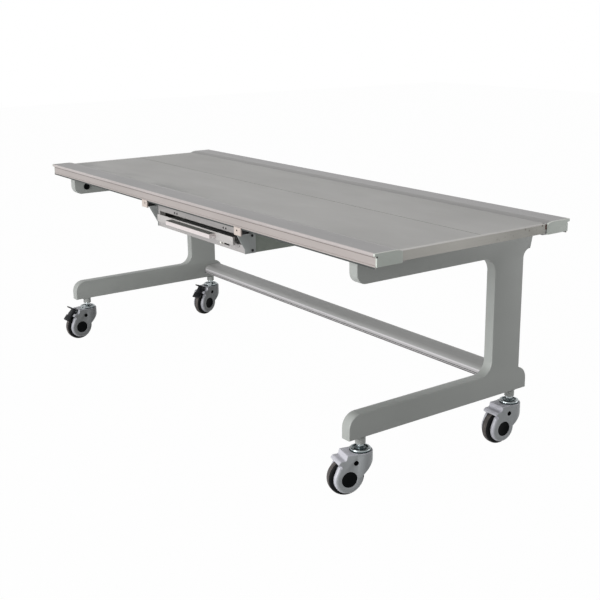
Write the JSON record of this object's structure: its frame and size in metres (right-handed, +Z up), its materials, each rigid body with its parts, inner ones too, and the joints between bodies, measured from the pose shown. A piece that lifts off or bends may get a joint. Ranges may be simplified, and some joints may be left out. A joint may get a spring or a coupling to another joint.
{
  "type": "radiography table",
  "caption": "Mobile radiography table: flat radiolucent top in aluminium rails on C-shaped end frames with swivel casters, and a sliding cassette tray under the top.",
  "frame": {"origin": "on the floor under the middle of the bounding box", "axes": "+X along the table towards the end with plain casters, -Y towards the open front where the tray pulls out, +Z up"},
  "size_m": [2, 0.759, 0.69],
  "materials": {
    "laminate": "matte grey laminate",
    "rail_aluminium": "anodised extrusion under a pinkish protective film",
    "cap_plastic": "pale moulded plastic",
    "frame_paint": "grey-green powder coat",
    "stretcher_aluminium": "satin extrusion",
    "zinc": "bright zinc plate",
    "fork_plastic": "light grey moulded plastic",
    "black_plastic": "black moulded plastic",
    "tread": "dark grey tread bonded to its core",
    "sheet_metal": "light brushed sheet",
    "grid_metal": "plain aluminium",
    "nylon": "beige nylon",
    "white_nylon": "white nylon"
  },
  "bodies": {
    "table": {"tabletop_panel": "laminate", "front_rail": "rail_aluminium", "rear_rail": "rail_aluminium", "left_end_strip": "rail_aluminium", "right_end_strip": "rail_aluminium", "front_left_cap": "cap_plastic", "front_right_cap": "cap_plastic", "rear_left_cap": "cap_plastic", "rear_right_cap": "cap_plastic", "left_end_frame": "frame_paint", "right_end_frame": "frame_paint", "stretcher": "stretcher_aluminium", "left_arm_plug": "black_plastic", "right_arm_plug": "black_plastic", "front_left_swivel_head": "zinc", "front_right_swivel_head": "zinc", "rear_left_swivel_head": "zinc", "rear_right_swivel_head": "zinc"},
    "front_left_caster": {"front_left_fork": "fork_plastic", "front_left_axle": "black_plastic", "front_left_lock_plate": "zinc"},
    "front_left_roller": {"front_left_wheel": "tread"},
    "front_left_brake": {"front_left_brake_pedal": "black_plastic"},
    "front_right_caster": {"front_right_fork": "fork_plastic", "front_right_axle": "black_plastic"},
    "front_right_roller": {"front_right_wheel": "tread"},
    "rear_left_caster": {"rear_left_fork": "fork_plastic", "rear_left_axle": "black_plastic", "rear_left_lock_plate": "zinc"},
    "rear_left_roller": {"rear_left_wheel": "tread"},
    "rear_left_brake": {"rear_left_brake_pedal": "black_plastic"},
    "rear_right_caster": {"rear_right_fork": "fork_plastic", "rear_right_axle": "black_plastic"},
    "rear_right_roller": {"rear_right_wheel": "tread"},
    "carriage": {"carriage_shell": "sheet_metal", "carriage_front_plate": "sheet_metal", "carriage_rear_panel": "sheet_metal", "front_left_hanger_bracket": "sheet_metal", "front_right_hanger_bracket": "sheet_metal", "rear_left_hanger_bracket": "sheet_metal", "rear_right_hanger_bracket": "sheet_metal", "front_left_glide_block": "nylon", "front_right_glide_block": "nylon", "rear_left_glide_block": "nylon", "rear_right_glide_block": "nylon", "front_left_track_hanger": "black_plastic", "front_right_track_hanger": "black_plastic", "rear_left_track_hanger": "black_plastic", "rear_right_track_hanger": "black_plastic", "left_runner": "grid_metal", "right_runner": "grid_metal", "anti_scatter_grid": "grid_metal"},
    "tray": {"tray_pan": "sheet_metal", "tray_front": "sheet_metal", "tray_handle": "rail_aluminium"},
    "left_jaw_bar": {"left_jaw": "sheet_metal"},
    "right_jaw_bar": {"right_jaw": "sheet_metal"},
    "catch": {"tray_catch": "white_nylon"}
  },
  "joints": [
    {"name": "front_left_swivel", "type": "hinge", "parent": "table", "child": "front_left_caster", "pos_m": [-0.879, -0.28101, 0.12175], "axis": [0, 0, 1], "continuous": true},
    {"name": "front_left_roll", "type": "hinge", "parent": "front_left_caster", "child": "front_left_roller", "pos_m": [-0.8765, -0.32443, 0.05225], "axis": [0.9983, 0.0576, 0], "continuous": true},
    {"name": "front_left_brake_tip", "type": "hinge", "parent": "front_left_caster", "child": "front_left_brake", "pos_m": [-0.87578, -0.33691, 0.115], "axis": [-0.9983, -0.0576, 0], "range_deg": [0, 18]},
    {"name": "front_right_swivel", "type": "hinge", "parent": "table", "child": "front_right_caster", "pos_m": [0.879, -0.28101, 0.12175], "axis": [0, 0, 1], "continuous": true},
    {"name": "front_right_roll", "type": "hinge", "parent": "front_right_caster", "child": "front_right_roller", "pos_m": [0.86811, -0.32312, 0.05225], "axis": [0.9681, -0.2504, 0], "continuous": true},
    {"name": "rear_left_swivel", "type": "hinge", "parent": "table", "child": "rear_left_caster", "pos_m": [-0.879, 0.293, 0.12175], "axis": [0, 0, 1], "continuous": true},
    {"name": "rear_left_roll", "type": "hinge", "parent": "rear_left_caster", "child": "rear_left_roller", "pos_m": [-0.86592, 0.25151, 0.05225], "axis": [0.9537, 0.3007, 0], "continuous": true},
    {"name": "rear_left_brake_tip", "type": "hinge", "parent": "rear_left_caster", "child": "rear_left_brake", "pos_m": [-0.86216, 0.23959, 0.115], "axis": [-0.9537, -0.3007, 0], "range_deg": [0, 18]},
    {"name": "rear_right_swivel", "type": "hinge", "parent": "table", "child": "rear_right_caster", "pos_m": [0.879, 0.293, 0.12175], "axis": [0, 0, 1], "continuous": true},
    {"name": "rear_right_roll", "type": "hinge", "parent": "rear_right_caster", "child": "rear_right_roller", "pos_m": [0.87612, 0.24959, 0.05225], "axis": [0.9978, -0.0663, 0], "continuous": true},
    {"name": "carriage_slide", "type": "slide", "parent": "table", "child": "carriage", "axis": [1, 0, 0], "range_m": [-0.615, 0.47]},
    {"name": "tray_slide", "type": "slide", "parent": "carriage", "child": "tray", "axis": [0, -1, 0], "range_m": [0, 0.37]},
    {"name": "left_jaw_slide", "type": "slide", "parent": "tray", "child": "left_jaw_bar", "axis": [1, 0, 0], "range_m": [0, 0.06]},
    {"name": "right_jaw_slide", "type": "slide", "parent": "tray", "child": "right_jaw_bar", "axis": [-1, 0, 0], "range_m": [0, 0.06]},
    {"name": "catch_slide", "type": "slide", "parent": "carriage", "child": "catch", "axis": [1, 0, 0], "range_m": [0, 0.038]}
  ],
  "couplings": [
    {"joint": "right_jaw_slide", "follows": "left_jaw_slide", "ratio": 1}
  ]
}
